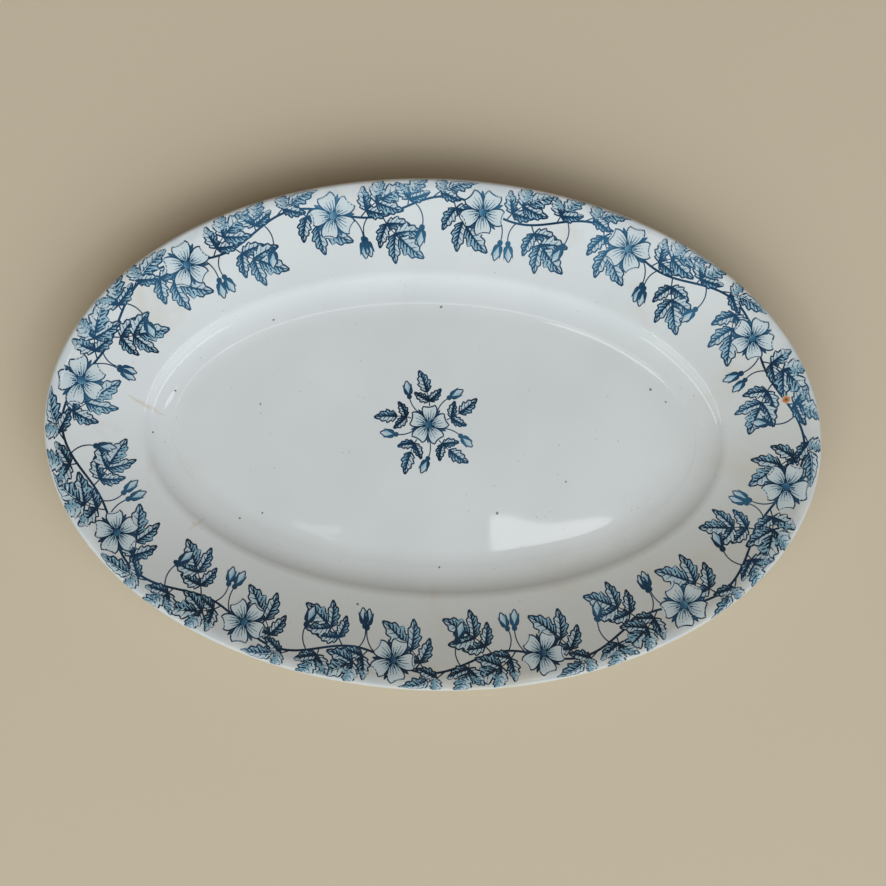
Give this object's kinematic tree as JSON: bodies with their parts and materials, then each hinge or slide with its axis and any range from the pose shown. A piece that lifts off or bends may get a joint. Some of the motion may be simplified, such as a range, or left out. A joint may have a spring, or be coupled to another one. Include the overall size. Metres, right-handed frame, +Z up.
{
  "type": "oval serving platter",
  "caption": "Oval glazed earthenware serving platter with a broad, gently hollow rim, a curved wall, a shallow flat well and a low foot ring",
  "frame": {"origin": "middle of the plane that the foot ring stands on, under the middle of the oval", "axes": "+X along the long axis of the oval, +Y along its short axis, +Z up out of the well"},
  "size_m": [0.38, 0.25, 0.029],
  "materials": {
    "white_glaze": "glossy cool white glaze over earthenware",
    "foot_clay": "glazed sides with a bare matt standing edge of fired clay"
  },
  "bodies": {
    "root": {"dish": "white_glaze", "foot_ring": "foot_clay"}
  },
  "joints": []
}
